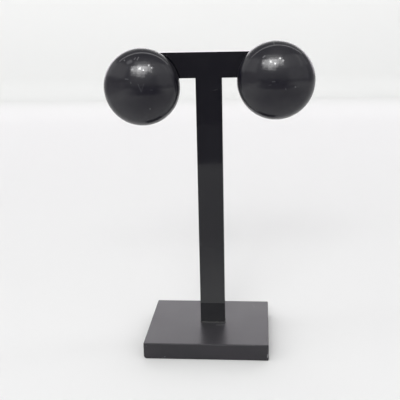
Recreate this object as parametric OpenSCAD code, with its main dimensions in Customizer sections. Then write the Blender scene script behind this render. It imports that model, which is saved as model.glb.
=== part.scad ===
/* [Base plate] */
// Width of the base plate
base_w = 44.6; // [36:0.1:60]
// Depth of the base plate, front to back
base_d = 39.6; // [32:0.1:56]
// Thickness of the base plate
base_t = 6; // [4.5:0.5:9]
// Radius of the base plate's polished edges
base_edge = 0.35; // [0.1:0.05:0.8]

/* [T bar] */
// Height of the T bar's top edge above the table
tee_top = 106.5; // [90:0.5:130]
// Thickness of the sheet that the T bar is cut from
tee_t = 3; // [2:0.1:4]
// Width of the upright post
post_w = 9.2; // [7:0.1:12]
// Length of the crossbar
bar_len = 56; // [54:0.5:64]
// Height of the crossbar
bar_h = 8.9; // [7:0.1:12]
// Radius of the crossbar's outer corners
bar_corner = 0.6; // [0.2:0.1:2]
// How far the post stands to the right of the base plate's middle
tee_x = 1.45; // [-3:0.05:3]
// How far the post stands behind the base plate's middle
tee_y = 0.35; // [-3:0.05:3]
// Depth of the slot that the post's foot is cemented into
slot_depth = 3; // [1.5:0.5:4]
// Room for cement on every side of the foot
slot_gap = 0.1; // [0.05:0.05:0.3]

/* [Domes] */
// Diameter of each dome
dome_d = 26.8; // [22:0.1:30]
// Height of each dome from its flat back to its crown
dome_h = 7.4; // [6.5:0.1:9]
// Radius of the tight arc that rolls the dome over to its rim
edge_r = 5.1; // [3.5:0.1:6]
// Distance from the crossbar's front face to the flat back of a dome
dome_gap = 1.5; // [1.2:0.05:2.5]
// Distance from the post's middle to the middle of each dome
dome_spread = 23.2; // [18:0.1:24]
// How far the left dome's middle hangs below the crossbar's middle
left_drop = 7.15; // [5:0.05:8]
// How far the right dome's middle hangs below the crossbar's middle
right_drop = 5.45; // [5:0.05:8]

/* [Ear clips] */
// Thickness of the spring strip
strip_t = 0.8; // [0.5:0.05:1]
// Width of the spring strip
strip_w = 5.5; // [4:0.5:7]
// Diameter of the round pad that is glued to the dome
pad_d = 12; // [10:0.5:14]
// Diameter of the paddle that presses from behind
paddle_d = 9; // [7:0.5:10]
// How much wider the strip's bend is than the grip at its top
spring_back = 0.65; // [0.2:0.05:1]
// Length of the straight rear leg
leg_len = 14; // [12:0.5:15]
// Angle at which the paddle's tip turns away from the bar
tip_angle = 45; // [20:5:60]
// Radius of the curve that turns the tip away
tip_r = 2.5; // [1:0.25:4]

/* [Hidden] */
$fn = 96;

// Gap kept between a dome's back and its clip's pad
glue_gap = 0.05;
// Gap kept between the crossbar and the pad in front of it, and the paddle behind it
grip_gap = 0.1;
// How much of the paddle's turned-away tip is cut off to make it round
tip_trim = 0.4;
// How many straight stretches stand for each arc of the strip
arc_steps = 24;

// The crossbar's two faces and its middle, and the plane of the domes' flat backs
bar_front = tee_y - tee_t / 2;
bar_back = tee_y + tee_t / 2;
bar_z = tee_top - bar_h / 2;
dome_back = bar_front - dome_gap;

// A dome's profile is an oval of two arcs that share a tangent:
// a wide one over the crown, and a tight one of edge_r at the rim
dome_r = dome_d / 2;
rim_offset = dome_r - edge_r;
crown_r = (dome_r * dome_r - 2 * dome_r * edge_r + dome_h * dome_h) / (2 * (dome_h - edge_r));
crown_angle = atan2(rim_offset, crown_r - dome_h);

// An ear clip's strip, seen from the side and measured from its dome's middle.
// It bends round below the pad, and its rear leg leans in until it grips the bar.
strip_front = dome_back + glue_gap;
pad_t = dome_gap - glue_gap - grip_gap;
bend_r = (pad_t - strip_t + tee_t + 2 * grip_gap + spring_back) / 2;
bend_drop = pad_d / 2 + 0.5;
bend_middle = [strip_front + strip_t + bend_r, -bend_drop];
lean = asin(spring_back / leg_len);
leg_up = [-sin(lean), cos(lean)];
leg_out = [cos(lean), sin(lean)];
tip_middle = bend_middle + leg_len * leg_up + (bend_r + strip_t + tip_r) * leg_out;
paddle_z = leg_len + tip_r * sin(tip_angle) - tip_trim - bend_drop - paddle_d / 2;

// A rectangle about the origin whose four corners are arcs of radius r
module soft_rectangle(w, h, r) {
    square([w - 2 * r, h], center = true);
    square([w, h - 2 * r], center = true);
    for (sx = [-1, 1])
        for (sy = [-1, 1])
            translate([sx * (w / 2 - r), sy * (h / 2 - r)])
                circle(r);
}

// Points on an arc about a middle, from the angle a0 to the angle a1
function arc(middle, r, a0, a1) =
    [for (i = [0:arc_steps]) let (a = a0 + (a1 - a0) * i / arc_steps) middle + r * [cos(a), sin(a)]];

// A plate whose edges are rounded in all three directions
module polished_plate(w, d, t, r) {
    intersection() {
        linear_extrude(t)
            soft_rectangle(w, d, r);
        translate([0, d / 2, t / 2])
            rotate([90, 0, 0])
                linear_extrude(d)
                    soft_rectangle(w, t, r);
        translate([-w / 2, 0, t / 2])
            rotate([90, 0, 90])
                linear_extrude(w)
                    soft_rectangle(d, t, r);
    }
}

// The base plate, with the slot for the post's foot cut into its top
module base_plate() {
    slot_w = post_w + 2 * slot_gap;
    slot_d = tee_t + 2 * slot_gap;
    slot_h = slot_depth + slot_gap;
    color([0.17, 0.16, 0.18])
        difference() {
            polished_plate(base_w, base_d, base_t, base_edge);
            translate([tee_x - slot_w / 2, tee_y - slot_d / 2, base_t - slot_h])
                cube([slot_w, slot_d, base_t]);
        }
}

// The T bar: a post and a crossbar cut from one sheet, its foot down in the slot
module t_bar() {
    foot_z = base_t - slot_depth;
    color([0.06, 0.06, 0.07])
        translate([tee_x, bar_back, 0])
            rotate([90, 0, 0])
                linear_extrude(tee_t) {
                    translate([-post_w / 2, foot_z])
                        square([post_w, bar_z - foot_z]);
                    translate([0, bar_z])
                        soft_rectangle(bar_len, bar_h, bar_corner);
                }
}

// Half of a dome's section: distance from the axis along x, height over the back along y.
// The two arcs meet on the line that runs through the middles of both
module dome_section() {
    reach = 2 * crown_r;
    rim_middle = [rim_offset, 0];
    meeting = rim_middle + reach * [sin(crown_angle), cos(crown_angle)];
    intersection() {
        translate([0, dome_h - crown_r])
            circle(crown_r);
        polygon([[0, 0], rim_middle, meeting, [0, reach]]);
    }
    intersection() {
        translate(rim_middle)
            circle(edge_r);
        polygon([rim_middle, rim_middle + [reach, 0], rim_middle + [reach, reach], meeting]);
    }
}

// A dome with its crown facing forward and the middle of its flat back at the origin
module dome() {
    color([0.09, 0.09, 0.1])
        rotate([90, 0, 0])
            rotate_extrude()
                dome_section();
}

// One face of the strip, seen from the side: down the front leg, round the bend, up the rear
// leg and away along the tip. It lies so far out from the face on the inside of the bend
function strip_line(out) = concat(
    [[strip_front + strip_t - out, 0]],
    arc(bend_middle, bend_r + out, 180, 360 + lean),
    arc(tip_middle, tip_r + strip_t - out, 180 + lean, 180 + lean - tip_angle)
);

// The strip from the side, between its two faces
module strip_side() {
    inner = strip_line(0);
    outer = strip_line(strip_t);
    polygon(concat(outer, [for (i = [len(inner) - 1:-1:0]) inner[i]]));
}

// The strip's outline from behind: narrow all the way, with a round paddle at the top
module strip_outline() {
    low = 2 * bend_drop;
    translate([-strip_w / 2, -low])
        square([strip_w, low + paddle_z]);
    translate([0, paddle_z])
        circle(d = paddle_d);
}

// An ear clip, drawn round its dome's middle: the pad, and the strip cut to its outline
module ear_clip() {
    reach = 4 * bend_r + tee_t;
    blank_w = paddle_d + 2;
    color("silver") {
        translate([0, strip_front + pad_t, 0])
            rotate([90, 0, 0])
                cylinder(h = pad_t, d = pad_d);
        intersection() {
            translate([-blank_w / 2, 0, 0])
                rotate([90, 0, 90])
                    linear_extrude(blank_w)
                        strip_side();
            translate([0, reach, 0])
                rotate([90, 0, 0])
                    linear_extrude(2 * reach)
                        strip_outline();
        }
    }
}

module left_dome() {
    translate([tee_x - dome_spread, dome_back, bar_z - left_drop])
        dome();
}

module right_dome() {
    translate([tee_x + dome_spread, dome_back, bar_z - right_drop])
        dome();
}

module left_clip() {
    translate([tee_x - dome_spread, 0, bar_z - left_drop])
        ear_clip();
}

module right_clip() {
    translate([tee_x + dome_spread, 0, bar_z - right_drop])
        ear_clip();
}

base_plate();
t_bar();
left_dome();
right_dome();
left_clip();
right_clip();
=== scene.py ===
# %% [markdown]
# # A pair of button earrings on a T-bar stand
# Two round black earrings, domed in front and flat behind, are clipped to the crossbar of a
# small black acrylic stand. The CAD model has already fixed every size and place.
# Here each piece gets a finely made surface and a finish, and the whole gets a small studio.
# Everything is in metres, in the CAD model's own axes: X right, Y back, Z up.

# %% Load the frame
import math

import bmesh
import bpy
from mathutils import Matrix, Vector


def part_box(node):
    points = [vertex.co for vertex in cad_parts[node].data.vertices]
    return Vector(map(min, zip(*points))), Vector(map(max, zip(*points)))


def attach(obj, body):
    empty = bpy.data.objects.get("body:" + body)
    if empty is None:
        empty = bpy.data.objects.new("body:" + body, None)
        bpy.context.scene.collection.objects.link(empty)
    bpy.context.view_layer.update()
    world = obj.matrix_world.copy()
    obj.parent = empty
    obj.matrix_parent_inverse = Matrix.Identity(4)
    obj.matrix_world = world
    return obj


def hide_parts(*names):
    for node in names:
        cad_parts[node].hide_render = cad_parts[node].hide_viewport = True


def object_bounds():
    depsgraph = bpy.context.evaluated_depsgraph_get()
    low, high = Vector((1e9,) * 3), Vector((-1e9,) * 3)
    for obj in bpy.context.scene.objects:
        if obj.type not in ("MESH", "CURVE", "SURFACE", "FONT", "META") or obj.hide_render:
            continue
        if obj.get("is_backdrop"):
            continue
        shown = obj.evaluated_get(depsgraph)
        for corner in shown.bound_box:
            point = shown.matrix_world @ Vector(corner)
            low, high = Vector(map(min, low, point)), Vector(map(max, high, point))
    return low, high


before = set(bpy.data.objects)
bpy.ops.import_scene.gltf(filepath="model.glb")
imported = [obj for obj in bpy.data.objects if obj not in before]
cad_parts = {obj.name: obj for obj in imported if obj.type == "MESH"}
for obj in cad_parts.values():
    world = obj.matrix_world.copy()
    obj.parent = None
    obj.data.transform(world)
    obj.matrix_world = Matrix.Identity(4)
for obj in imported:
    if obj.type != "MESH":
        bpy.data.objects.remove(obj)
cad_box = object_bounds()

MM = 0.001
print("nodes:", ", ".join(sorted(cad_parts)))

# %% [markdown]
# ## Sizes
# Most sizes can be read straight off the CAD nodes, because a node's place is in its vertices.
# The lowest vertices of the T bar are its foot, so their spread is the post's width.
# The few that no box tells are named here in millimetres, once, as in the CAD source.

# %% Read the stand's sizes
FOOT_BAND = 0.1 * MM          # vertices this close to the lowest ones are the foot
BESIDE_POST = 2 * MM          # vertices this far to the right of the post are the crossbar

base_low, base_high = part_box("base_plate")
tee_low, tee_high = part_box("t_bar")
tee_points = [v.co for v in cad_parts["t_bar"].data.vertices]
foot_points = [p for p in tee_points if p.z < tee_low.z + FOOT_BAND]
post_left = min(p.x for p in foot_points)
post_right = max(p.x for p in foot_points)
bar_bottom = min(p.z for p in tee_points if p.x > post_right + BESIDE_POST)
print(f"post {(post_right - post_left) / MM:.1f} mm wide,",
      f"crossbar {(tee_high.z - bar_bottom) / MM:.1f} mm high")

# %% Name the earrings' sizes
DOME_EDGE_R = 5.1 * MM        # tight arc that rolls the dome over to its rim
DOME_RIM_FILLET = 0.2 * MM    # polished corner between rim and flat back
STRIP_T = 0.8 * MM            # spring strip
STRIP_W = 5.5 * MM
PAD_D = 12.0 * MM             # glued pad in front
PAD_T = 1.35 * MM
PADDLE_D = 9.0 * MM           # round end that presses from behind
LEG_LEN = 14.0 * MM
SPRING_BACK = 0.65 * MM       # how much the rear leg leans in
GRIP_GAP = 0.1 * MM           # a hair of room between the crossbar and what grips it
TIP_R = 2.5 * MM              # the paddle's turned-away tip
TIP_ANGLE = math.radians(45)

# %% [markdown]
# ## Camera
# The photograph was taken with a short telephoto view, a little from the right and from above,
# and the camera was not quite level. A camera in Blender looks along its own -Z axis with +Y up,
# so the three directions right, up and backward are the columns of its rotation matrix.
# Building that matrix by hand keeps the small roll, which a track constraint would lose.

# %% Make the camera
IMAGE_W = 400
FOCAL_PX = 722.5
SENSOR_MM = 36
CAMERA_PITCH = 0.26           # radians down
CAMERA_YAW = -0.0885          # radians, turned to the left
CAMERA_ROLL = -0.0221
CAMERA_TARGET = Vector((-2.57, 0.0, 53.6)) * MM
CAMERA_DISTANCE = 262.8 * MM
CAMERA_SEES = (0.01, 20)      # nearest and furthest, in metres


def camera_axes(pitch, yaw, roll):
    """The camera's right, up and forward directions."""
    forward = Vector((math.sin(yaw) * math.cos(pitch), math.cos(yaw) * math.cos(pitch),
                      -math.sin(pitch)))
    level = Vector((math.cos(yaw), -math.sin(yaw), 0))
    upright = level.cross(forward)
    right = level * math.cos(roll) + upright * math.sin(roll)
    up = upright * math.cos(roll) - level * math.sin(roll)
    return right, up, forward


CAMERA_RIGHT, CAMERA_UP, CAMERA_FORWARD = camera_axes(CAMERA_PITCH, CAMERA_YAW, CAMERA_ROLL)
CAMERA_PLACE = CAMERA_TARGET - CAMERA_FORWARD * CAMERA_DISTANCE


def make_camera():
    lens = bpy.data.cameras.new("camera")
    lens.sensor_width = SENSOR_MM
    lens.lens = FOCAL_PX * SENSOR_MM / IMAGE_W
    lens.clip_start, lens.clip_end = CAMERA_SEES
    camera = bpy.data.objects.new("camera", lens)
    turn = Matrix((CAMERA_RIGHT, CAMERA_UP, -CAMERA_FORWARD)).transposed().to_4x4()
    camera.matrix_world = Matrix.Translation(CAMERA_PLACE) @ turn
    bpy.context.scene.collection.objects.link(camera)
    bpy.context.scene.camera = camera


make_camera()
print("camera stands at", [round(c / MM) for c in CAMERA_PLACE], "mm")

# %% [markdown]
# ## Small helpers
# Every piece ends the same way: modifiers are applied by asking for the evaluated mesh, the
# result goes into a fresh object at the origin, and that object rides on the CAD's one body.
# It also hides the CAD node that it stands for.

# %% Helpers for pieces
def link(obj):
    bpy.context.scene.collection.objects.link(obj)
    return obj


def mesh_object(name, bm):
    """Puts a bmesh into a new object at the origin."""
    mesh = bpy.data.meshes.new(name)
    bm.to_mesh(mesh)
    bm.free()
    return link(bpy.data.objects.new(name, mesh))


def applied(obj, name):
    """A plain mesh object with obj's modifiers applied; obj itself is removed."""
    depsgraph = bpy.context.evaluated_depsgraph_get()
    mesh = bpy.data.meshes.new_from_object(obj.evaluated_get(depsgraph), depsgraph=depsgraph)
    bpy.data.objects.remove(obj)
    mesh.name = name
    return link(bpy.data.objects.new(name, mesh))


def finish_piece(piece, material, node=None):
    """Gives a finished piece its material, hides the CAD node it stands for and hangs it on the root
    body.
    """
    piece.data.materials.clear()
    piece.data.materials.append(material)
    if node:
        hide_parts(node)
    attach(piece, "root")
    piece.data.calc_loop_triangles()
    print(f"{piece.name}: {len(piece.data.loop_triangles)} triangles")


def bevel(obj, width, segments, angle=40):
    """A rounded edge that leaves the flat faces beside it shaded flat."""
    modifier = obj.modifiers.new("Polished edge", "BEVEL")
    modifier.width = width
    modifier.segments = segments
    modifier.limit_method = "ANGLE"
    modifier.angle_limit = math.radians(angle)
    modifier.harden_normals = True
    for face in obj.data.polygons:
        face.use_smooth = True


# %% Helpers for node trees
def join(tree, value, socket):
    """Feeds a socket from another socket, or sets it to a plain value."""
    if isinstance(value, bpy.types.NodeSocket):
        tree.links.new(value, socket)
    else:
        socket.default_value = value


def node(tree, kind, inputs=(), **settings):
    """A new node with its settings and inputs; inputs go by position or name."""
    made = tree.nodes.new(kind)
    for key, value in settings.items():
        setattr(made, key, value)
    pairs = inputs.items() if isinstance(inputs, dict) else enumerate(inputs)
    for key, value in pairs:
        join(tree, value, made.inputs[key])
    return made


def calc(tree, operation, *values):
    """One Math node, as an output socket."""
    return node(tree, "ShaderNodeMath", values, operation=operation).outputs[0]


def vector_calc(tree, operation, *values):
    """One Vector Math node, as the output socket that its operation fills."""
    made = node(tree, "ShaderNodeVectorMath", operation=operation)
    for socket, value in zip(made.inputs, values):
        join(tree, value, socket)
    single = operation in ("DOT_PRODUCT", "LENGTH", "DISTANCE")
    return made.outputs["Value" if single else "Vector"]


def remap(tree, value, low, high, to_low, to_high):
    """Moves a value smoothly from one range to another, and clamps it there."""
    inputs = {"Value": value, "From Min": low, "From Max": high, "To Min": to_low, "To Max": to_high}
    return node(tree, "ShaderNodeMapRange", inputs, interpolation_type="SMOOTHSTEP").outputs[0]


def mix_colours(tree, share, first, second):
    """From the first colour at share 0 to the second at share 1."""
    mixer = node(tree, "ShaderNodeMix", data_type="RGBA")
    for value, socket in ((share, 0), (first, 6), (second, 7)):
        join(tree, value, mixer.inputs[socket])
    return mixer.outputs[2]


# %% [markdown]
# ## Floor and backdrop
# The stand is on a pale floor in front of a pale backdrop, under soft light.
# Black plastic shows almost nothing of its own, only what it mirrors, so the room is laid out
# for its reflections: the backdrop shines in the base plate's top, and the floor in the post's
# lower half. The post's upper half mirrors the dim room in front.
# Three cards stand for what is dimmer near the stand: one up in front, one up on the left, and
# one that lies on the floor as painted shade, for the shade that falls there in front. The camera
# doesn't see them.
# All this paint thins out towards its edges, so that little that is mirrored or seen from
# another side ends in a hard edge.

# %% Lay the floor
ROOM_HALF_W = 1.7
FLOOR_FRONT = -1.5
BACKDROP_Y = 0.76
BACKDROP_H = 1.6
CORNER_R = 0.03
FLOOR_COLOUR = (0.795, 0.80, 0.788)
PAINT_ROUGHNESS = 0.75
PAINT_SPECULAR = 0.2


def corner_profile(steps=12):
    """Depth and height along the floor, round the small corner and up the backdrop."""
    centre = (BACKDROP_Y - CORNER_R, CORNER_R)
    arc = [math.radians(-90 + 90 * i / steps) for i in range(steps + 1)]
    curve = [(centre[0] + CORNER_R * math.cos(a), centre[1] + CORNER_R * math.sin(a)) for a in arc]
    return [(FLOOR_FRONT, 0.0), *curve, (BACKDROP_Y, BACKDROP_H)]


def make_floor():
    bm = bmesh.new()
    rows = [[bm.verts.new((x, y, z)) for x in (-ROOM_HALF_W, ROOM_HALF_W)] for y, z in corner_profile()]
    for near, far in zip(rows, rows[1:]):
        bm.faces.new((near[0], near[1], far[1], far[0])).smooth = True
    return mesh_object("floor_and_backdrop", bm)


def thinning_paint(name, colour, fades, fullest=1.0):
    """Plain paint that thins out: each fade is (axis, where it begins, where it is full)."""
    material = bpy.data.materials.new(name)
    material.use_nodes = True
    tree = material.node_tree
    shader = tree.nodes["Principled BSDF"]
    shader.inputs["Base Color"].default_value = (*colour, 1)
    shader.inputs["Roughness"].default_value = PAINT_ROUGHNESS
    shader.inputs["Specular IOR Level"].default_value = PAINT_SPECULAR
    place = tree.nodes.new("ShaderNodeTexCoord").outputs["Object"]
    axes = node(tree, "ShaderNodeSeparateXYZ", (place,)).outputs
    cover = fullest
    for axis, begins, full in fades:
        share = remap(tree, axes[axis], begins, full, 0.0, 1.0)
        cover = calc(tree, "MULTIPLY", cover, share)
    join(tree, cover, shader.inputs["Alpha"])
    return material


FLOOR_FADES = (("X", -ROOM_HALF_W, -0.7), ("X", ROOM_HALF_W, 0.7),
               ("Y", FLOOR_FRONT, -0.5), ("Z", BACKDROP_H, 0.9))
floor = make_floor()
floor.data.materials.append(thinning_paint("pale_floor", FLOOR_COLOUR, FLOOR_FADES))
floor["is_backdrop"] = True
print("floor", 2 * ROOM_HALF_W, "m wide, backdrop", BACKDROP_Y, "m behind the stand")


# %% Cards that only show in the gloss
def hang_card(name, span, profile, paint):
    """A card between two sides (x or y), along a profile.

    It is mirrored but not seen, and casts no shadow.
    """
    bm = bmesh.new()
    rows = [[bm.verts.new(point(side)) for side in span] for point in profile]
    for low, high in zip(rows, rows[1:]):
        bm.faces.new((low[0], low[1], high[1], high[0]))
    card = mesh_object(name, bm)
    card.data.materials.append(paint)
    card.visible_camera = False
    card.visible_diffuse = False
    card.visible_shadow = False
    card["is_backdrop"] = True


# %% Stand the front card
FRONT_CARD_X = (-0.28, 0.26)
FRONT_CARD_Y = -0.33
FRONT_CARD_TOP = 0.125
FRONT_CARD_BEND_Z = 0.03      # below this it is bent back towards the stand
FRONT_CARD_LIP = (-0.2485, 0.0131)   # lower edge in Y and Z: the floor ends here in the post's gloss
FRONT_CARD_LIP_FADE = 0.005
FRONT_CARD_COLOUR = (0.165, 0.16, 0.18)
FRONT_CARD_FADES = (("X", FRONT_CARD_X[0], -0.06), ("X", FRONT_CARD_X[1], 0.12),
                    ("Z", FRONT_CARD_TOP, 0.075),
                    ("Y", FRONT_CARD_LIP[0], FRONT_CARD_LIP[0] - FRONT_CARD_LIP_FADE))
front_paint = thinning_paint("front_card", FRONT_CARD_COLOUR, FRONT_CARD_FADES)
hang_card("front_card", FRONT_CARD_X, (
    lambda x: (x, *FRONT_CARD_LIP), lambda x: (x, FRONT_CARD_Y, FRONT_CARD_BEND_Z),
    lambda x: (x, FRONT_CARD_Y, FRONT_CARD_TOP)), front_paint)

# %% Stand the left card
LEFT_CARD_X = -0.27
LEFT_CARD_Y = (-0.42, 0.18)
LEFT_CARD_TOP = 0.16
LEFT_CARD_COLOUR = (0.54, 0.53, 0.54)
LEFT_CARD_FADES = (("Y", LEFT_CARD_Y[0], -0.28), ("Y", LEFT_CARD_Y[1], 0.05),
                   ("Z", 0.0, 0.07), ("Z", LEFT_CARD_TOP, 0.12))
left_paint = thinning_paint("left_card", LEFT_CARD_COLOUR, LEFT_CARD_FADES)
hang_card("left_card", LEFT_CARD_Y, (
    lambda y: (LEFT_CARD_X, y, 0), lambda y: (LEFT_CARD_X, y, LEFT_CARD_TOP)), left_paint)

# %% Lay the painted shade on the floor
SHADE_X = (-0.24, 0.50)
SHADE_Y = (-0.60, -0.015)
SHADE_Z = 0.5 * MM
SHADE_FULLEST = 0.68          # some of the floor still shows through it
# painted shade: this dark sheet, seen only in reflections, stands for the shade on the floor in front
SHADE_COLOUR = (0.26, 0.255, 0.265)
SHADE_FADES = (("X", SHADE_X[0], 0.02), ("X", SHADE_X[1], 0.06), ("Y", SHADE_Y[1], -0.14))
shade_paint = thinning_paint("floor_shade", SHADE_COLOUR, SHADE_FADES, SHADE_FULLEST)
hang_card("floor_shade", SHADE_X, (
    lambda x: (x, SHADE_Y[0], SHADE_Z), lambda x: (x, SHADE_Y[1], SHADE_Z)), shade_paint)
print("three cards hung")

# %% [markdown]
# ## Light
# One large window in front makes the bright patch on each dome. The patch is uneven, so it is
# hung as a few overlapping area lights, and five small lamps before it make the sparkles in it.
# Each lamp is wide enough to be mirrored about a pixel wide, because a smaller one would flash
# or vanish with every ripple of the plastic. Fainter panels to either side of the window carry
# a grey band round to the domes' rims. Each is three sheets of slightly different size, one
# before the other, because a single sheet would be mirrored with a hard edge. A long thin strip
# overhead draws the fine arc inside the rim. A lamp and a faint glow close to the backdrop
# brighten what the base plate mirrors, and a soft lamp on the left leaves the faint shadow on
# the right.

# %% Hang the lights
LOOK_AT = Vector((1.5, -5, 90)) * MM


def area_light(name, place, size, radiance, aim=LOOK_AT, mirrored=True, colour=(1, 1, 1)):
    """A flat light turned to a point. Radiance 1 is as bright as white paper."""
    data = bpy.data.lights.new(name, "AREA")
    data.shape = "RECTANGLE"
    data.size, data.size_y = size
    data.color = colour
    data.energy = radiance * math.pi * size[0] * size[1]
    lamp = link(bpy.data.objects.new(name, data))
    lamp.location = place
    lamp.rotation_euler = (Vector(place) - Vector(aim)).to_track_quat("Z", "Y").to_euler()
    lamp.visible_camera = False
    lamp.visible_glossy = mirrored


def from_front(azimuth, elevation, distance):
    """A place in front of the earrings, by its direction in degrees."""
    a, e = math.radians(azimuth), math.radians(elevation)
    direction = Vector((math.sin(a) * math.cos(e), -math.cos(a) * math.cos(e), math.sin(e)))
    return LOOK_AT + distance * direction


WINDOW_DISTANCE = 1.2
WINDOW_PANES = (              # azimuth, elevation in degrees; width, height in metres; radiance
    (-5.5, 33.0, 0.88, 0.24, 2.7),
    (-8.5, 30.6, 0.58, 0.32, 2.4),
    (0.5, 36.0, 0.52, 0.26, 2.4),
    (-6, 28.0, 0.32, 0.46, 2.0),
    (-16, 27.0, 0.42, 0.34, 1.4),
    (-4, 41.0, 0.60, 0.26, 0.9),
)
for azimuth, elevation, width, height, radiance in WINDOW_PANES:
    area_light("window", from_front(azimuth, elevation, WINDOW_DISTANCE), (width, height), radiance)
LAMP_DISTANCE = 1.15
LAMPS = (                     # the same, for the small bright lamps in front of the window
    (-25.5, 30.5, 0.08, 0.06, 7.0),
    (-9.5, 33.6, 0.055, 0.055, 30.0),
    (-0.5, 30.2, 0.06, 0.05, 32.0),
    (11.3, 39.4, 0.07, 0.06, 20.0),
    (17.5, 35.0, 0.06, 0.06, 15.0),
)
for azimuth, elevation, width, height, radiance in LAMPS:
    area_light("lamp", from_front(azimuth, elevation, LAMP_DISTANCE), (width, height), radiance)
PANEL_DISTANCE = 1.6
SIDE_PANELS = (
    (-94, 25.5, 1.04, 0.70, 0.55),
    (-57, 25.5, 1.04, 0.70, 0.55),
    (2, 29.5, 0.90, 0.40, 0.35),
    (36, 33.0, 1.04, 0.62, 0.45),
    (72, 33.0, 1.04, 0.62, 0.45),
    (47, 11.0, 1.20, 0.60, 0.30),
)
PANEL_SHEETS = (-0.07, 0.0, 0.07)   # how much larger each sheet is, and how much nearer it hangs
for azimuth, elevation, width, height, radiance in SIDE_PANELS:
    for more in PANEL_SHEETS:
        place = from_front(azimuth, elevation, PANEL_DISTANCE - more)
        area_light("side_panel", place, (width + more, height + more), radiance / len(PANEL_SHEETS))
area_light("overhead_strip", place=(0, 0, 1.1), size=(2.4, 0.15), radiance=2.4)
area_light("backdrop_lamp", place=(0, 0.52, 0.47), size=(2.4, 0.1), radiance=4.0,
           aim=(0, BACKDROP_Y, 0.47))
area_light("backdrop_glow", place=(0, 0.74, 0.32), size=(2.4, 0.38), radiance=0.75,
           aim=(0, 0, 0.32), colour=(0.96, 0.86, 1.0))
area_light("left_fill", place=(-1.7, -0.2, 0.6), size=(1.2, 1.0), radiance=0.6, mirrored=False)
print(len(bpy.data.lights), "lights hung")

# %% Light the room itself
# The camera sees a pale room all round; everything else sees the dimmer one that is mirrored.
DIM_ROOM = (0.43, 0.427, 0.44, 1)
PALE_ROOM = (0.86, 0.86, 0.865, 1)


def make_room():
    world = bpy.data.worlds.new("room")
    world.use_nodes = True
    tree = world.node_tree
    dim = tree.nodes["Background"]
    dim.inputs["Color"].default_value = DIM_ROOM
    pale = node(tree, "ShaderNodeBackground", {"Color": PALE_ROOM})
    camera_ray = tree.nodes.new("ShaderNodeLightPath").outputs["Is Camera Ray"]
    either = node(tree, "ShaderNodeMixShader", (camera_ray, dim.outputs[0], pale.outputs[0]))
    tree.links.new(either.outputs[0], tree.nodes["World Output"].inputs["Surface"])
    bpy.context.scene.world = world


make_room()
bpy.context.scene.view_settings.view_transform = "Standard"

# %% [markdown]
# ## Base plate
# On the real stand this is a sawn and polished piece of acrylic. A box with a fine bevel does it.
# The slot for the post's foot is cut with a Boolean modifier, which is the quickest way to sink
# one box into another. One lower corner has been knocked off over the years: a plane slices it
# away before the bevel, and the bevel then rounds the new edges too.

# %% Cut and polish the base plate
SLOT_GAP = 0.1 * MM
BASE_EDGE = 0.35 * MM
EDGE_SEGMENTS = 4
KNOCK_DEPTH = 0.55 * MM
KNOCK_FACING = Vector((-1.0, -0.7, -0.9)).normalized()
CUTTER_STANDS_OUT = 1 * MM    # above the plate's top, so that the cut is open there


def box_mesh(low, high):
    bm = bmesh.new()
    bmesh.ops.create_cube(bm, size=1)
    bmesh.ops.scale(bm, vec=high - low, verts=bm.verts)
    bmesh.ops.translate(bm, vec=(low + high) / 2, verts=bm.verts)
    return bm


def slice_corner(bm, corner, facing, depth):
    """Cuts a corner off with a plane and closes the cut."""
    everything = bm.verts[:] + bm.edges[:] + bm.faces[:]
    cut = bmesh.ops.bisect_plane(bm, geom=everything, plane_co=corner - facing * depth, plane_no=facing,
                                 clear_outer=True)["geom_cut"]
    bmesh.ops.contextual_create(bm, geom=[part for part in cut if isinstance(part, bmesh.types.BMEdge)])
    bmesh.ops.recalc_face_normals(bm, faces=bm.faces)


def make_base_plate():
    blank = box_mesh(base_low, base_high)
    slice_corner(blank, base_low, KNOCK_FACING, KNOCK_DEPTH)
    plate = mesh_object("plate_blank", blank)
    bevel(plate, BASE_EDGE, EDGE_SEGMENTS)
    plate.modifiers["Polished edge"].use_clamp_overlap = False
    room = Vector((SLOT_GAP, SLOT_GAP, SLOT_GAP))
    slot_low = Vector((post_left, tee_low.y, tee_low.z)) - room
    slot_high = Vector((post_right, tee_high.y, base_high.z + CUTTER_STANDS_OUT)) + room
    cutter = mesh_object("slot_cutter", box_mesh(slot_low, slot_high))
    cut = plate.modifiers.new("Slot", "BOOLEAN")
    cut.operation = "DIFFERENCE"
    cut.solver = "EXACT"
    cut.object = cutter
    piece = applied(plate, "base_plate_acrylic")
    bpy.data.objects.remove(cutter)
    return piece


base_piece = make_base_plate()
print("base plate", [round(d / MM, 1) for d in base_high - base_low], "mm")

# %% [markdown]
# ## T bar
# The real T is cut from one sheet, so it is one outline pushed back by the sheet's thickness.
# The outline has only its corners; the crossbar's four outer ones are short arcs.

# %% Cut the T bar
BAR_CORNER = 0.6 * MM
TEE_EDGE = 0.12 * MM


def corner_arc(x, z, r, start):
    """Points of a quarter circle round (x, z), counter-clockwise from the angle start."""
    steps = 6
    angles = [math.radians(start + 90 * i / steps) for i in range(steps + 1)]
    return [(x + r * math.cos(a), z + r * math.sin(a)) for a in angles]


def tee_outline():
    left, right = tee_low.x + BAR_CORNER, tee_high.x - BAR_CORNER
    low, high = bar_bottom + BAR_CORNER, tee_high.z - BAR_CORNER
    return [
        (post_left, tee_low.z), (post_right, tee_low.z), (post_right, bar_bottom),
        *corner_arc(right, low, BAR_CORNER, -90),
        *corner_arc(right, high, BAR_CORNER, 0),
        *corner_arc(left, high, BAR_CORNER, 90),
        *corner_arc(left, low, BAR_CORNER, 180),
        (post_left, bar_bottom),
    ]


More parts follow.
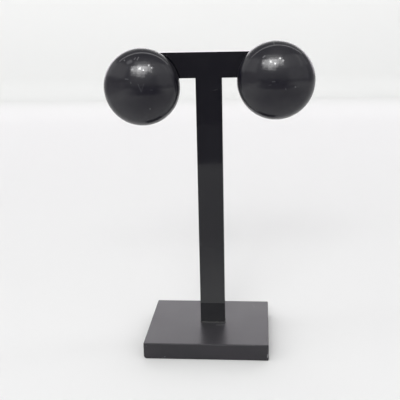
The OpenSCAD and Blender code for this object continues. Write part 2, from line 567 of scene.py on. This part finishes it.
def make_t_bar():
    bm = bmesh.new()
    front = bm.faces.new([bm.verts.new((x, tee_low.y, z)) for x, z in tee_outline()])
    pushed = bmesh.ops.extrude_face_region(bm, geom=[front])["geom"]
    moved = [v for v in pushed if isinstance(v, bmesh.types.BMVert)]
    bmesh.ops.translate(bm, vec=(0, tee_high.y - tee_low.y, 0), verts=moved)
    bmesh.ops.recalc_face_normals(bm, faces=bm.faces)
    blank = mesh_object("tee_blank", bm)
    bevel(blank, TEE_EDGE, 2)
    return applied(blank, "t_bar_acrylic")


tee_piece = make_t_bar()
print("T bar", round((tee_high.z - tee_low.z) / MM, 1), "mm from foot to top")

# %% [markdown]
# ## The lathe
# A dome and the round pad of a clip are both turned shapes: a half section swept round an axis.
# Blender's Spin tool would do it, but the rule is simple enough to be a Geometry Nodes tree, and
# then one tree makes them all. The modifier sits on the section, a curve whose points hold the
# distance from the axis in X and the depth in Y. A grid of rings by segments is laid out, each
# ring looks up its own point of the curve, and each segment turns it a little further round.
# Merge by Distance then closes the seam and the two poles.

# %% Helpers for Geometry Nodes
WELD_DISTANCE = 1e-6


def start_tree(name, inputs):
    """A Geometry Nodes tree with a geometry in and out and the named inputs."""
    tree = bpy.data.node_groups.new(name, "GeometryNodeTree")
    tree.interface.new_socket("Geometry", in_out="OUTPUT", socket_type="NodeSocketGeometry")
    tree.interface.new_socket("Geometry", in_out="INPUT", socket_type="NodeSocketGeometry")
    for label, kind in inputs:
        tree.interface.new_socket(label, in_out="INPUT", socket_type="NodeSocket" + kind)
    return tree, tree.nodes.new("NodeGroupInput").outputs, tree.nodes.new("NodeGroupOutput").inputs


def close_tree(tree, geometry, material, out):
    """The end that every tree shares: real geometry, smooth shading and the material."""
    real = node(tree, "GeometryNodeRealizeInstances", (geometry,)).outputs[0]
    shading = {"Geometry": real, "Shade Smooth": True}
    smooth = node(tree, "GeometryNodeSetShadeSmooth", shading).outputs[0]
    painted = node(tree, "GeometryNodeSetMaterial", {"Geometry": smooth, "Material": material})
    tree.links.new(painted.outputs[0], out[0])


def weld(tree, geometry):
    """Merges the points that lie on each other, which closes seams and poles."""
    merge = {"Geometry": geometry, "Distance": WELD_DISTANCE}
    return node(tree, "GeometryNodeMergeByDistance", merge).outputs[0]


def grid_fields(tree, rows, columns):
    """A unit grid, and the two fields that run from 0 to 1 along its rows and its columns."""
    grid = node(tree, "GeometryNodeMeshGrid", {"Size X": 1.0, "Size Y": 1.0,
                                               "Vertices X": rows, "Vertices Y": columns})
    position = tree.nodes.new("GeometryNodeInputPosition").outputs[0]
    spot = node(tree, "ShaderNodeSeparateXYZ", (position,)).outputs
    return grid.outputs[0], calc(tree, "ADD", spot[0], 0.5), calc(tree, "ADD", spot[1], 0.5)


def sample_path(tree, path, along):
    """Looks a curve up at a share of its length."""
    lookup = node(tree, "GeometryNodeSampleCurve", mode="FACTOR", use_all_curves=True)
    join(tree, path, lookup.inputs["Curves"])
    join(tree, along, lookup.inputs["Factor"])
    return lookup.outputs["Position"], lookup.outputs["Tangent"]


def poly_curve(name, points, closed=False):
    """A curve object of one straight-sided spline."""
    data = bpy.data.curves.new(name, "CURVE")
    data.dimensions = "3D"
    spline = data.splines.new("POLY")
    spline.points.add(len(points) - 1)
    for point, place in zip(spline.points, points):
        point.co = (*place, 1)
    spline.use_cyclic_u = closed
    return link(bpy.data.objects.new(name, data))


def run_tree(obj, tree, values, name):
    """Runs a tree on an object and returns the plain mesh that it makes."""
    modifier = obj.modifiers.new(tree.name, "NODES")
    modifier.node_group = tree
    known_as = {item.name: item.identifier for item in tree.interface.items_tree
                if item.item_type == "SOCKET" and item.in_out == "INPUT"}
    for label, value in values.items():
        modifier[known_as[label]] = value
    return applied(obj, name)


def outward(piece):
    """Turns every face of a closed shell outwards."""
    bm = bmesh.new()
    bm.from_mesh(piece.data)
    bmesh.ops.recalc_face_normals(bm, faces=bm.faces)
    bm.to_mesh(piece.data)
    bm.free()
    return piece


# %% Build the lathe tree
def make_lathe():
    inputs = [("Rings", "Int"), ("Segments", "Int"), ("Centre", "Vector"), ("Material", "Material")]
    tree, given, out = start_tree("Lathe", inputs)
    around = calc(tree, "ADD", given["Segments"], 1.0)
    grid, down, round_about = grid_fields(tree, given["Rings"], around)
    last_ring = calc(tree, "SUBTRACT", given["Rings"], 1.0)
    lookup = node(tree, "GeometryNodeSampleIndex", data_type="FLOAT_VECTOR", domain="POINT")
    join(tree, given["Geometry"], lookup.inputs["Geometry"])
    join(tree, tree.nodes.new("GeometryNodeInputPosition").outputs[0], lookup.inputs["Value"])
    join(tree, calc(tree, "ROUND", calc(tree, "MULTIPLY", down, last_ring)), lookup.inputs["Index"])
    turned = node(tree, "ShaderNodeVectorRotate", {"Vector": lookup.outputs[0], "Axis": (0, 1, 0)},
                  rotation_type="AXIS_ANGLE")
    join(tree, calc(tree, "MULTIPLY", round_about, 2 * math.pi), turned.inputs["Angle"])
    placed = vector_calc(tree, "ADD", turned.outputs[0], given["Centre"])
    shaped = node(tree, "GeometryNodeSetPosition", {"Geometry": grid, "Position": placed})
    close_tree(tree, weld(tree, shaped.outputs[0]), given["Material"], out)
    return tree


LATHE = make_lathe()


def turn(name, section, centre, segments):
    """Turns a section, a list of (radius, depth, 0), round the line through centre."""
    values = {"Rings": len(section), "Segments": segments, "Centre": centre}
    return outward(run_tree(poly_curve(name + "_section", section), LATHE, values, name))


# %% [markdown]
# ## Domes
# Each earring's front is a button of moulded black plastic. Its section is an oval of two arcs
# that share a tangent: a wide one over the crown and a tight one at the rim, then a small
# polished corner and the flat back. Height and diameter come from the CAD node's box, and the
# wide arc's radius follows from them.

# %% Turn the domes
CROWN_STEPS = 24
RIM_STEPS = 22
FILLET_STEPS = 5
BACK_STEPS = 6
DOME_SEGMENTS = 180


def arc_points(centre, radius, start, stop, steps):
    """Points (x, y, 0) on an arc; angle 0 points along -Y, the dome's crown."""
    angles = [start + (stop - start) * i / steps for i in range(steps + 1)]
    return [(centre[0] + radius * math.sin(a), centre[1] - radius * math.cos(a), 0) for a in angles]


def dome_section(radius, height):
    rim_x = radius - DOME_EDGE_R
    crown_r = (radius ** 2 - 2 * radius * DOME_EDGE_R + height ** 2) / (2 * (height - DOME_EDGE_R))
    share = math.atan2(rim_x, crown_r - height)
    fillet = DOME_RIM_FILLET
    crown = arc_points((0, crown_r - height), crown_r, 0, share, CROWN_STEPS)
    rim = arc_points((rim_x, 0), DOME_EDGE_R, share, math.acos(fillet / DOME_EDGE_R), RIM_STEPS)
    corner = arc_points((radius - fillet, -fillet), fillet, math.pi / 2, math.pi, FILLET_STEPS)
    back = [((radius - fillet) * (1 - i / BACK_STEPS), 0, 0) for i in range(1, BACK_STEPS + 1)]
    return crown + rim[1:] + corner + back


def make_dome(side):
    low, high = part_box(side + "_dome")
    radius, height = (high.x - low.x) / 2, high.y - low.y
    centre = Vector(((low.x + high.x) / 2, high.y, (low.z + high.z) / 2))
    print(f"{side} dome {2 * radius / MM:.1f} mm across, {height / MM:.1f} mm high")
    return turn(side + "_dome_shell", dome_section(radius, height), centre, DOME_SEGMENTS)


dome_pieces = {side: make_dome(side) for side in ("left", "right")}

# %% [markdown]
# ## Ear clips
# Behind each dome a round pad is glued on, and a narrow spring strip runs down from it, bends
# under the crossbar and comes up behind to press on it with a round paddle.
# The strip follows a path and its width follows a rule, so it is a Geometry Nodes tree too: the
# modifier sits on the path, a grid is laid along it, and each row of the grid is as wide as the
# rule says. Solidify gives the ribbon its thickness and a bevel rounds its edges, as stamping
# and tumbling do on the real one.

# %% Build the ribbon tree
RIBBON_COLUMNS = 9
LEAST_INSIDE = 4e-7           # in square metres: keeps the last row of the paddle from closing up


def disc_width(tree, from_middle, radius):
    """How wide a disc is, so far from its middle."""
    inside = calc(tree, "SUBTRACT", calc(tree, "MULTIPLY", radius, radius),
                  calc(tree, "MULTIPLY", from_middle, from_middle))
    half = calc(tree, "SQRT", calc(tree, "MAXIMUM", inside, LEAST_INSIDE))
    return calc(tree, "MULTIPLY", half, 2.0)


def make_ribbon():
    tree, given, out = start_tree("Ribbon", [("Rows", "Int"), ("Strip Width", "Float"),
                                             ("Paddle Diameter", "Float"), ("Material", "Material")])
    grid, along, across = grid_fields(tree, given["Rows"], RIBBON_COLUMNS)
    position, _ = sample_path(tree, given["Geometry"], along)
    length = node(tree, "GeometryNodeCurveLength", (given["Geometry"],)).outputs[0]
    to_end = calc(tree, "MULTIPLY", calc(tree, "SUBTRACT", 1.0, along), length)
    radius = calc(tree, "MULTIPLY", given["Paddle Diameter"], 0.5)
    from_middle = calc(tree, "SUBTRACT", to_end, radius)
    narrow = calc(tree, "MULTIPLY", given["Strip Width"], calc(tree, "GREATER_THAN", from_middle, 0.0))
    width = calc(tree, "MAXIMUM", disc_width(tree, from_middle, radius), narrow)
    aside = calc(tree, "MULTIPLY", calc(tree, "SUBTRACT", across, 0.5), width)
    sideways = node(tree, "ShaderNodeCombineXYZ", (aside, 0.0, 0.0)).outputs[0]
    placed = vector_calc(tree, "ADD", position, sideways)
    shaped = node(tree, "GeometryNodeSetPosition", {"Geometry": grid, "Position": placed})
    close_tree(tree, shaped.outputs[0], given["Material"], out)
    return tree


RIBBON = make_ribbon()


# %% Draw the strip's path and the pad's section
BEND_BELOW_PAD = 0.5 * MM     # how far under the pad the strip starts to turn
BEND_STEPS = 24
TIP_STEPS = 10


def strip_path(centre, strip_front):
    """The middle line of the strip, from inside the pad round to the paddle's tip."""
    grip = tee_high.y + GRIP_GAP - strip_front - STRIP_T
    middle_r = (grip + SPRING_BACK + STRIP_T) / 2
    bend = Vector((strip_front + STRIP_T / 2 + middle_r, centre.z - PAD_D / 2 - BEND_BELOW_PAD))
    lean = math.asin(SPRING_BACK / LEG_LEN)
    front_leg = [centre.z + t * (bend.y - centre.z) for t in (0, 0.5)]
    places = [Vector((strip_front + STRIP_T / 2, z)) for z in front_leg]
    for i in range(BEND_STEPS + 1):
        a = math.pi + (math.pi + lean) * i / BEND_STEPS
        places.append(bend + middle_r * Vector((math.cos(a), math.sin(a))))
    up = Vector((-math.sin(lean), math.cos(lean)))
    out = Vector((math.cos(lean), math.sin(lean)))
    reach = TIP_R + STRIP_T / 2
    tip = bend + out * (middle_r + reach) + up * LEG_LEN
    for i in range(TIP_STEPS + 1):
        a = math.pi + lean - TIP_ANGLE * i / TIP_STEPS
        places.append(tip + reach * Vector((math.cos(a), math.sin(a))))
    return [(centre.x, p.x, p.y) for p in places]


def pad_section(radius, depth, corner):
    """Half section of the pad, from the middle of its front round to the middle of its back."""
    top = arc_points((radius - corner, corner - depth), corner, 0, math.pi / 2, FILLET_STEPS)
    low = arc_points((radius - corner, -corner), corner, math.pi / 2, math.pi, FILLET_STEPS)
    return [(0, -depth, 0), (radius / 2, -depth, 0), *top, *low, (radius / 2, 0, 0), (0, 0, 0)]


# %% Make the clips
RIBBON_ROWS = 120
STRIP_EDGE = 0.14 * MM        # tumbled edges of the strip
STRIP_EDGE_ANGLE = 50         # the strip's bends stay below this, its edges above
PAD_EDGE = 0.3 * MM
PAD_SEGMENTS = 72


def make_strip(side, centre, strip_front):
    path = poly_curve(side + "_path", strip_path(centre, strip_front))
    values = {"Rows": RIBBON_ROWS, "Strip Width": STRIP_W, "Paddle Diameter": PADDLE_D}
    strip = run_tree(path, RIBBON, values, side + "_strip")
    thick = strip.modifiers.new("Thickness", "SOLIDIFY")
    thick.thickness = STRIP_T
    thick.offset = 0
    bevel(strip, STRIP_EDGE, 2, STRIP_EDGE_ANGLE)
    return outward(applied(strip, side + "_strip"))


def make_clip(side):
    """The pad and the strip as one piece."""
    low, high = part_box(side + "_clip")
    dome_low, dome_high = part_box(side + "_dome")
    centre = (dome_low + dome_high) / 2
    strip = make_strip(side, centre, low.y)
    pad_back = Vector((centre.x, low.y + PAD_T, centre.z))
    pad = turn(side + "_pad", pad_section(PAD_D / 2, PAD_T, PAD_EDGE), pad_back, PAD_SEGMENTS)
    union = pad.modifiers.new("Union", "BOOLEAN")
    union.operation = "UNION"
    union.solver = "EXACT"
    union.object = strip
    piece = applied(pad, side + "_clip_nickel")
    bpy.data.objects.remove(strip)
    return piece


clip_pieces = {side: make_clip(side) for side in ("left", "right")}
print("clips grip", round((tee_high.y - tee_low.y) / MM, 1), "mm of sheet")

# %% [markdown]
# ## Cement
# The post's foot is cemented into its slot, and a thin bead has squeezed out all round. It
# follows the foot's outline, so Geometry Nodes draw it: a grid is bent round the outline as a
# long tube, and a little noise makes it uneven. Three quarters of the tube lie inside the two
# acrylic pieces, so only a fine quarter-round shows.

# %% Squeeze out the bead of cement
BEAD_R = 0.3 * MM
BEAD_UNEVENNESS = 0.25        # as a share of its radius
BEAD_CORNER = 0.15 * MM
BEAD_ROWS = 241
BEAD_COLUMNS = 13
LUMPS_PER_METRE = 700.0


def make_bead_tree():
    tree, given, out = start_tree("Bead", [("Radius", "Float"), ("Unevenness", "Float"),
                                           ("Material", "Material")])
    grid, along, across = grid_fields(tree, BEAD_ROWS, BEAD_COLUMNS)
    position, tangent = sample_path(tree, given["Geometry"], along)
    outwards = vector_calc(tree, "NORMALIZE", vector_calc(tree, "CROSS_PRODUCT", tangent, (0, 0, 1)))
    lumps = node(tree, "ShaderNodeTexNoise", {"Vector": position, "Scale": LUMPS_PER_METRE}).outputs[0]
    change = calc(tree, "MULTIPLY", remap(tree, lumps, 0.3, 0.7, -1.0, 1.0), given["Unevenness"])
    radius = calc(tree, "MULTIPLY", given["Radius"], calc(tree, "ADD", 1.0, change))
    angle = calc(tree, "MULTIPLY", across, 2 * math.pi)
    rise = calc(tree, "MULTIPLY", radius, calc(tree, "SINE", angle))
    upwards = node(tree, "ShaderNodeCombineXYZ", (0.0, 0.0, rise)).outputs[0]
    away = node(tree, "ShaderNodeVectorMath", (outwards,), operation="SCALE")
    join(tree, calc(tree, "MULTIPLY", radius, calc(tree, "COSINE", angle)), away.inputs["Scale"])
    place = vector_calc(tree, "ADD", position, vector_calc(tree, "ADD", away.outputs[0], upwards))
    shaped = node(tree, "GeometryNodeSetPosition", {"Geometry": grid, "Position": place})
    close_tree(tree, weld(tree, shaped.outputs[0]), given["Material"], out)
    return tree


def make_bead():
    r = BEAD_CORNER
    corners = ((post_right - r, tee_high.y - r, 0), (post_left + r, tee_high.y - r, 90),
               (post_left + r, tee_low.y + r, 180), (post_right - r, tee_low.y + r, 270))
    points = [(*spot, base_high.z) for x, y, start in corners for spot in corner_arc(x, y, r, start)]
    outline = poly_curve("foot_outline", points, closed=True)
    values = {"Radius": BEAD_R, "Unevenness": BEAD_UNEVENNESS}
    return outward(run_tree(outline, make_bead_tree(), values, "foot_cement"))


bead_piece = make_bead()
print("bead of cement,", len(bead_piece.data.vertices), "points round the foot")

# %% [markdown]
# ## Marks
# Real black plastic is never one flat black. It carries small knocks and scratches where the
# light catches, and the larger ones here are the ones that can be seen on the real piece.
# Each is a short stroke with a start, an end and a width. A stroke is placed by the pixels where
# it shows, and a ray from the camera through each pixel finds the point on the piece's surface.

# %% The mark: a node group shared by every finish
def make_mark_group():
    """Mask of one stroke: Strength on the line from Start to End, 0 further off than Width."""
    tree = bpy.data.node_groups.new("Mark", "ShaderNodeTree")
    for label in ("Start", "End"):
        tree.interface.new_socket(label, in_out="INPUT", socket_type="NodeSocketVector")
    for label in ("Width", "Strength"):
        tree.interface.new_socket(label, in_out="INPUT", socket_type="NodeSocketFloat")
    tree.interface.new_socket("Mask", in_out="OUTPUT", socket_type="NodeSocketFloat")
    given = tree.nodes.new("NodeGroupInput").outputs
    place = tree.nodes.new("ShaderNodeTexCoord").outputs["Object"]
    stroke = vector_calc(tree, "SUBTRACT", given["End"], given["Start"])
    offset = vector_calc(tree, "SUBTRACT", place, given["Start"])
    length_squared = calc(tree, "MAXIMUM", vector_calc(tree, "DOT_PRODUCT", stroke, stroke), 1e-12)
    along = calc(tree, "DIVIDE", vector_calc(tree, "DOT_PRODUCT", offset, stroke), length_squared)
    nearest = node(tree, "ShaderNodeVectorMath", (stroke,), operation="SCALE")
    join(tree, node(tree, "ShaderNodeClamp", (along, 0.0, 1.0)).outputs[0], nearest.inputs["Scale"])
    distance = vector_calc(tree, "LENGTH", vector_calc(tree, "SUBTRACT", offset, nearest.outputs[0]))
    mask = remap(tree, distance, 0.0, given["Width"], given["Strength"], 0.0)
    tree.links.new(mask, tree.nodes.new("NodeGroupOutput").inputs[0])
    return tree


MARK = make_mark_group()


def marks_mask(tree, marks):
    """The strongest of many strokes, each (start, end, width, strength)."""
    total = 0.0
    for stroke in marks:
        group = node(tree, "ShaderNodeGroup", node_tree=MARK)
        for socket, value in zip(group.inputs, stroke):
            socket.default_value = value
        total = calc(tree, "MAXIMUM", total, group.outputs[0])
    return total


# %% Place the marks by their pixels
def seen_at(piece, pixel):
    """The point of a piece that the camera sees at a pixel of the photograph."""
    aim = (CAMERA_FORWARD * FOCAL_PX + CAMERA_RIGHT * (pixel[0] - IMAGE_W / 2)
           + CAMERA_UP * (IMAGE_W / 2 - pixel[1]))
    hit, place, _, _ = piece.ray_cast(CAMERA_PLACE, aim.normalized())
    return place


def strokes(piece, listed):
    """Turns {name: (start pixel, end pixel, width in mm, strength)} into places on a piece."""
    bpy.context.view_layer.update()
    return [(seen_at(piece, start), seen_at(piece, end), width * MM, strength)
            for start, end, width, strength in listed.values()]


LEFT_DOME_MARKS = {
    "speck above the highlight": ((124.2, 60.2), (124.5, 60.5), 0.35, 0.38),
    "smudge": ((128.2, 62.5), (130.6, 61.4), 0.95, 0.17),
    "first tick": ((134.2, 59.3), (135.4, 57.8), 0.3, 0.20),
    "second tick": ((137.2, 59.8), (138.6, 57.2), 0.3, 0.24),
    "dash": ((125.3, 79.0), (128.0, 79.3), 0.3, 0.16),
    "tick below the dash": ((130.7, 82.2), (130.9, 83.4), 0.3, 0.12),
    "scratch, left arm": ((138.0, 84.3), (141.2, 91.8), 0.3, 0.07),
    "scratch, right arm": ((143.8, 84.0), (141.2, 91.8), 0.3, 0.04),
    "faint dash": ((150.5, 90.0), (152.6, 90.1), 0.25, 0.07),
    "low speck": ((150.0, 108.7), (150.2, 109.1), 0.4, 0.14),
}
RIGHT_DOME_MARKS = {
    "tick beside the highlight": ((263.2, 57.3), (264.8, 56.0), 0.4, 0.36),
    "dash": ((272.3, 81.8), (275.0, 81.6), 0.28, 0.12),
    "speck on the right": ((295.3, 86.9), (295.6, 87.1), 0.35, 0.26),
    "faint tick": ((285.6, 88.4), (286.0, 89.8), 0.28, 0.10),
    "faint dash": ((269.0, 85.2), (271.2, 84.9), 0.28, 0.06),
    "scuff on the rim": ((273.7, 42.4), (274.2, 44.4), 0.4, 0.15),
}
BASE_MARKS = {
    "chip in the lower edge": ((164.4, 356.9), (165.0, 356.8), 0.30, 0.3),
    "worn corner": ((267.9, 354.6), (267.6, 357.4), 0.28, 0.7),
    "scratch": ((252.6, 304.8), (254.4, 307.2), 0.28, 0.12),
    "smear of cement": ((217.4, 325.0), (223.8, 324.8), 0.9, 0.22),
}
TEE_MARKS = {
    "faint scratch": ((213.0, 90.6), (217.4, 89.4), 0.22, 0.06),
}
dome_marks = (strokes(dome_pieces["left"], LEFT_DOME_MARKS)
              + strokes(dome_pieces["right"], RIGHT_DOME_MARKS))
base_marks = strokes(base_piece, BASE_MARKS)
tee_marks = strokes(tee_piece, TEE_MARKS)
print(len(dome_marks) + len(base_marks) + len(tee_marks), "marks placed")

# %% [markdown]
# ## Finishes
# The rest of a finish is statistical, so noise makes it. Noise in Object coordinates has its
# true scale in metres and stays put when the piece moves. Slow noise lets the roughness wander
# like the haze of handling, and finer noise gives the moulded surface its relief of about a
# hundredth of a millimetre, enough to break up the edge of a mirrored window.
# Whatever is the same all over is set on the shader itself.

# %% One recipe for the black plastics
PALE = (0.32, 0.32, 0.33, 1)  # what a scratch or a speck of dust shows
MARK_DULLS = 0.4              # how much roughness a mark adds
HAZE_PER_METRE = 130.0
DUST_PER_METRE = 330.0
DUST_SIZE = 0.035             # as a share of its cell
PLASTIC_IOR = 1.49
MICRON = 1e-6


def new_finish(name):
    """A new material, its node tree, its Principled shader and the Object coordinates."""
    material = bpy.data.materials.new(name)
    material.use_nodes = True
    tree = material.node_tree
    place = tree.nodes.new("ShaderNodeTexCoord").outputs["Object"]
    return material, tree, tree.nodes["Principled BSDF"], place


def noise(tree, place, per_metre, detail=4.0):
    inputs = {"Vector": place, "Scale": per_metre, "Detail": detail}
    return node(tree, "ShaderNodeTexNoise", inputs).outputs[0]


def dust(tree, place, per_metre, size, share):
    """Mask of small round specks in a share of the cells of a random mesh."""
    cells = node(tree, "ShaderNodeTexVoronoi", {"Vector": place, "Scale": per_metre})
    speck = calc(tree, "LESS_THAN", cells.outputs["Distance"], size)
    chosen = node(tree, "ShaderNodeSeparateXYZ", (cells.outputs["Color"],)).outputs[0]
    return calc(tree, "MULTIPLY", speck, calc(tree, "LESS_THAN", chosen, share))


def black_plastic(name, colours, roughness, relief, dusty, marks=(), specular=0.5, coat=None):
    """Black plastic that wanders between two colours and two roughnesses.

    relief lists waves as (how many a metre, height in micrometres); dusty is the share of specks.
    """
    material, tree, shader, place = new_finish(name)
    haze = noise(tree, place, HAZE_PER_METRE)
    specks = (DUST_PER_METRE, DUST_SIZE, dusty)
    mask = calc(tree, "MAXIMUM", marks_mask(tree, marks), dust(tree, place, *specks))
    body = mix_colours(tree, remap(tree, haze, 0.35, 0.65, 0.0, 1.0), *colours)
    join(tree, mix_colours(tree, mask, body, PALE), shader.inputs["Base Color"])
    rough = remap(tree, haze, 0.3, 0.7, *roughness)
    dulled = calc(tree, "ADD", rough, calc(tree, "MULTIPLY", mask, MARK_DULLS))
    join(tree, dulled, shader.inputs["Roughness"])
    height = 0.0
    for per_metre, microns in relief:
        wave = calc(tree, "MULTIPLY", noise(tree, place, per_metre, 2.0), microns)
        height = calc(tree, "ADD", height, wave)
    bump = {"Strength": 1.0, "Distance": MICRON, "Height": height}
    bumpy = node(tree, "ShaderNodeBump", bump).outputs[0]
    join(tree, bumpy, shader.inputs["Normal"])
    shader.inputs["IOR"].default_value = PLASTIC_IOR
    shader.inputs["Specular IOR Level"].default_value = specular
    if coat:
        shader.inputs["Coat Weight"].default_value, shader.inputs["Coat Roughness"].default_value = coat
        join(tree, bumpy, shader.inputs["Coat Normal"])
    return material


# %% Finish the stand
# The T bar keeps the sheet's mirror gloss. The base plate lies where hands and dust reach it and
# has gone satin. The cement is a little milky.
tee_acrylic = black_plastic("tee_acrylic", ((0.0025, 0.0025, 0.0045, 1), (0.004, 0.004, 0.006, 1)),
                            (0.03, 0.06), [(250.0, 0.6)], 0.02, tee_marks, specular=0.66)
base_acrylic = black_plastic("base_acrylic", ((0.013, 0.0125, 0.0160, 1), (0.017, 0.0150, 0.0195, 1)),
                             (0.33, 0.37), [(1500.0, 0.8), (250.0, 0.6)], 0.04, base_marks)
cement = black_plastic("cement", ((0.02, 0.02, 0.02, 1), (0.045, 0.045, 0.043, 1)),
                       (0.25, 0.45), [(1800.0, 6.0)], 0.04)
finish_piece(base_piece, base_acrylic, "base_plate")
finish_piece(tee_piece, tee_acrylic, "t_bar")
finish_piece(bead_piece, cement)

# %% Finish the domes
# A moulded and tumbled button has two glosses at once: a sharper one from the skin of the
# plastic, and a wide dull one from what lies scratched just under it. The coat is the sharp one.
dome_black = black_plastic("dome_black", ((0.004, 0.0036, 0.0078, 1), (0.0075, 0.007, 0.011, 1)),
                           (0.28, 0.40), [(650.0, 15.0), (2200.0, 3.0)], 0.05, dome_marks,
                           specular=0.2, coat=(0.85, 0.06))
for side, piece in dome_pieces.items():
    finish_piece(piece, dome_black, side + "_dome")


# %% Finish the clips
# Nickel plate over pressed steel: bright, faintly yellow, with drawn lines along the strip and
# a duller bloom where it has tarnished.
NICKEL_BRIGHT = (0.63, 0.60, 0.55, 1)
NICKEL_TARNISHED = (0.50, 0.47, 0.42, 1)
NICKEL_ROUGHNESS = (0.12, 0.26)
DRAWN_LINES = (9000, 500, 500)   # waves a metre across and along the strip
BLOOM_PER_METRE = 260.0
DENTS_PER_METRE = 500.0
DENT_HEIGHT = 4.0             # as a multiple of the drawn lines' height
DRAWN_HEIGHT = 1.5 * MICRON


def make_nickel():
    material, tree, shader, place = new_finish("nickel")
    drawn = node(tree, "ShaderNodeMapping", {"Vector": place, "Scale": DRAWN_LINES}).outputs[0]
    bloom = noise(tree, place, BLOOM_PER_METRE, 5.0)
    tarnish = remap(tree, bloom, 0.35, 0.7, 0.0, 1.0)
    colour = mix_colours(tree, tarnish, NICKEL_BRIGHT, NICKEL_TARNISHED)
    join(tree, colour, shader.inputs["Base Color"])
    join(tree, remap(tree, bloom, 0.3, 0.7, *NICKEL_ROUGHNESS), shader.inputs["Roughness"])
    dents = calc(tree, "MULTIPLY", noise(tree, place, DENTS_PER_METRE), DENT_HEIGHT)
    height = calc(tree, "ADD", noise(tree, drawn, 1.0, 3.0), dents)
    bump = {"Strength": 1.0, "Distance": DRAWN_HEIGHT, "Height": height}
    bumpy = node(tree, "ShaderNodeBump", bump).outputs[0]
    join(tree, bumpy, shader.inputs["Normal"])
    shader.inputs["Metallic"].default_value = 1.0
    return material


nickel = make_nickel()
for side, piece in clip_pieces.items():
    finish_piece(piece, nickel, side + "_clip")

# %% [markdown]
# ## Measure
# How far the visual model reaches past the CAD model's box is measured and printed.

# %% Measure how far the pieces grew
new_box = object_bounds()
growth = (cad_box[0] - new_box[0])[:] + (new_box[1] - cad_box[1])[:]
print("grew by at most", round(max(growth) / MM, 3), "mm")
